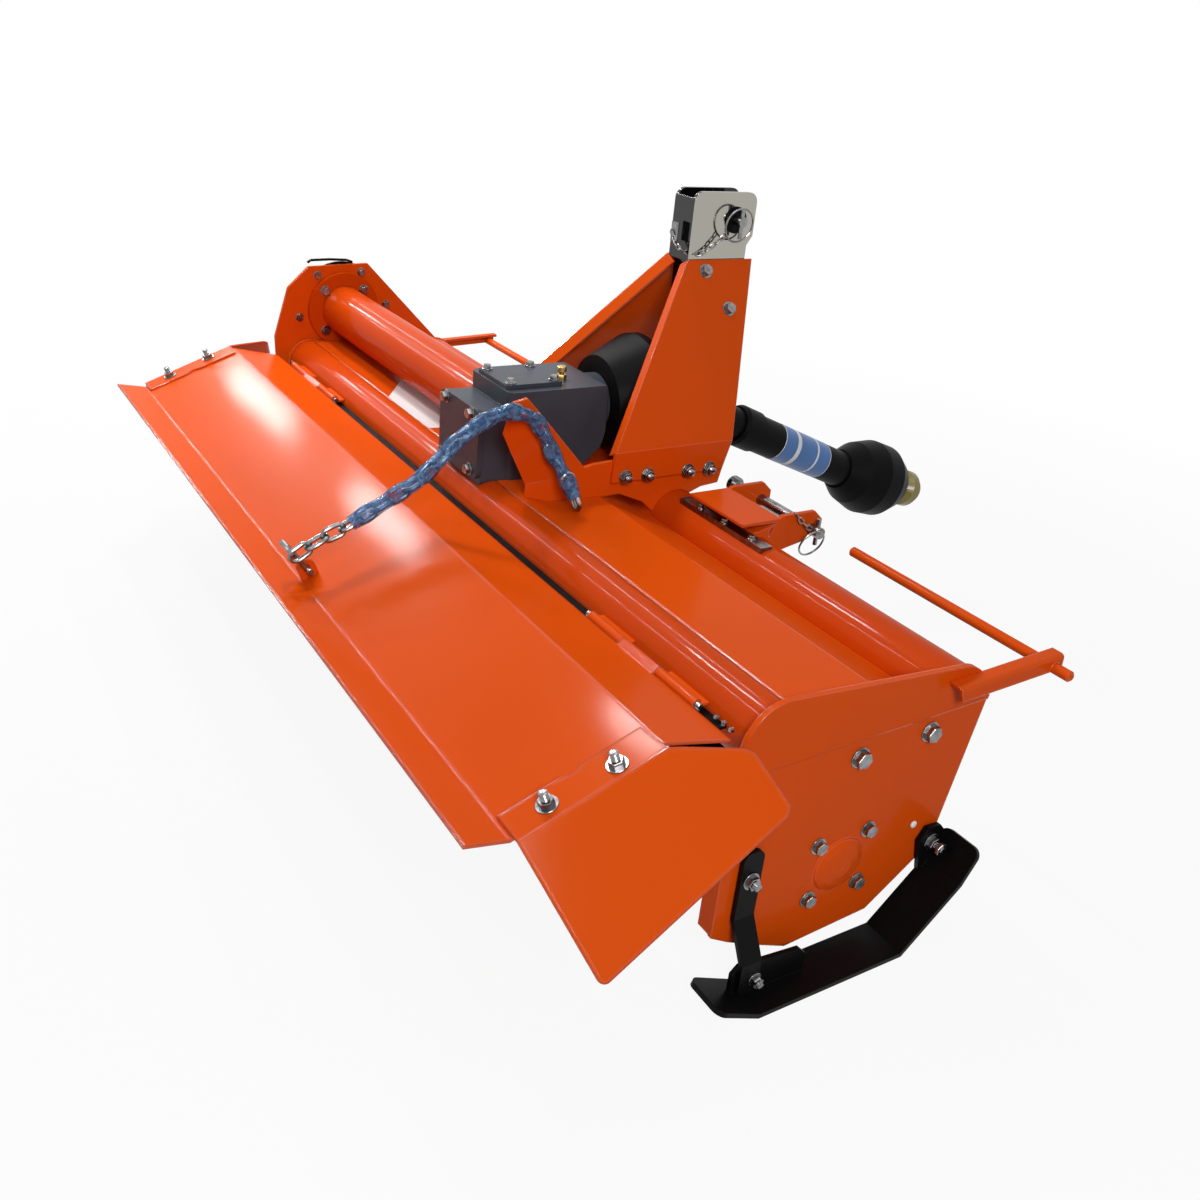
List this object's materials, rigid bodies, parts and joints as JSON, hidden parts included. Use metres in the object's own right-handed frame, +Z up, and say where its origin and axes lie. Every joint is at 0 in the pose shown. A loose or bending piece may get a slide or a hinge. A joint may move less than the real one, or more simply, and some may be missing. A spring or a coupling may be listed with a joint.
{
  "type": "rotary tiller",
  "caption": "Three-point-hitch rotary tiller with a wide hinged rear gate, side-driven rotor, gearbox, A-frame mast and guarded drive shaft.",
  "frame": {"origin": "on the ground under the middle of the machine's bounding box", "axes": "+X to the machine's right, seen from behind facing the tractor; +Y forward to the tractor; +Z up"},
  "size_m": [2.1482, 1.678, 0.975],
  "materials": {
    "orange_paint": "gloss powder coat with fine orange peel",
    "black_paint": "satin black paint",
    "gloss_black": "gloss black enamel",
    "gearbox_grey": "dark grey paint on a casting",
    "zinc_plate": "bright zinc plate",
    "bare_steel": "bare steel",
    "black_plastic": "matt black moulded plastic",
    "olive_paint": "yellow-olive paint"
  },
  "bodies": {
    "frame": {"chain_case": "black_paint", "clamp_strips": "zinc_plate", "deck": "orange_paint", "drive_tube": "orange_paint", "front_skirt": "orange_paint", "front_tube": "orange_paint", "gearbox_housing": "gearbox_grey", "gearbox_rear_cover": "gearbox_grey", "gearbox_top_cover": "gearbox_grey", "hinge_knuckles": "orange_paint", "hitch_pins": "zinc_plate", "input_fork": "bare_steel", "input_shield": "black_plastic", "left_end_plate": "orange_paint", "left_guard": "orange_paint", "left_hitch_bracket": "orange_paint", "left_mast_plate": "orange_paint", "left_skid": "black_paint", "left_strut": "black_paint", "left_support": "orange_paint", "lift_chain": "bare_steel", "rear_tube": "orange_paint", "right_bearing_plate": "orange_paint", "right_end_plate": "orange_paint", "right_guard": "orange_paint", "right_hitch_bracket": "orange_paint", "right_mast_plate": "orange_paint", "right_skid": "black_paint", "right_strut": "black_paint", "right_support": "orange_paint", "top_clevis": "gloss_black", "top_link_pin": "zinc_plate"},
    "gate": {"gate_panel": "orange_paint", "right_wing": "orange_paint", "left_wing": "orange_paint", "lift_eye": "orange_paint", "lift_shackle": "zinc_plate"},
    "rotor": {"rotor_shaft": "black_paint", "tines": "black_paint"},
    "shaft_rear": {"shaft_rear_yoke": "bare_steel", "shaft_rear_cone": "black_plastic", "shaft_rear_tube": "black_plastic"},
    "shaft_front": {"shaft_front_tube": "black_plastic", "shaft_front_bell": "black_plastic", "shaft_front_yoke": "olive_paint"}
  },
  "joints": [
    {"name": "gate_hinge", "type": "hinge", "parent": "frame", "child": "gate", "pos_m": [0, -0.4493, 0.4335], "axis": [1, 0, 0], "range_deg": [0, 60]},
    {"name": "rotor_spin", "type": "hinge", "parent": "frame", "child": "rotor", "pos_m": [0, -0.2193, 0.157], "axis": [1, 0, 0], "continuous": true},
    {"name": "shaft_swing", "type": "hinge", "parent": "frame", "child": "shaft_rear", "pos_m": [0, 0.0507, 0.575], "axis": [1, 0, 0], "range_deg": [-10, 35]},
    {"name": "shaft_slide", "type": "slide", "parent": "shaft_rear", "child": "shaft_front", "axis": [0, 0.9205, -0.3907], "range_m": [0, 0.09]}
  ]
}
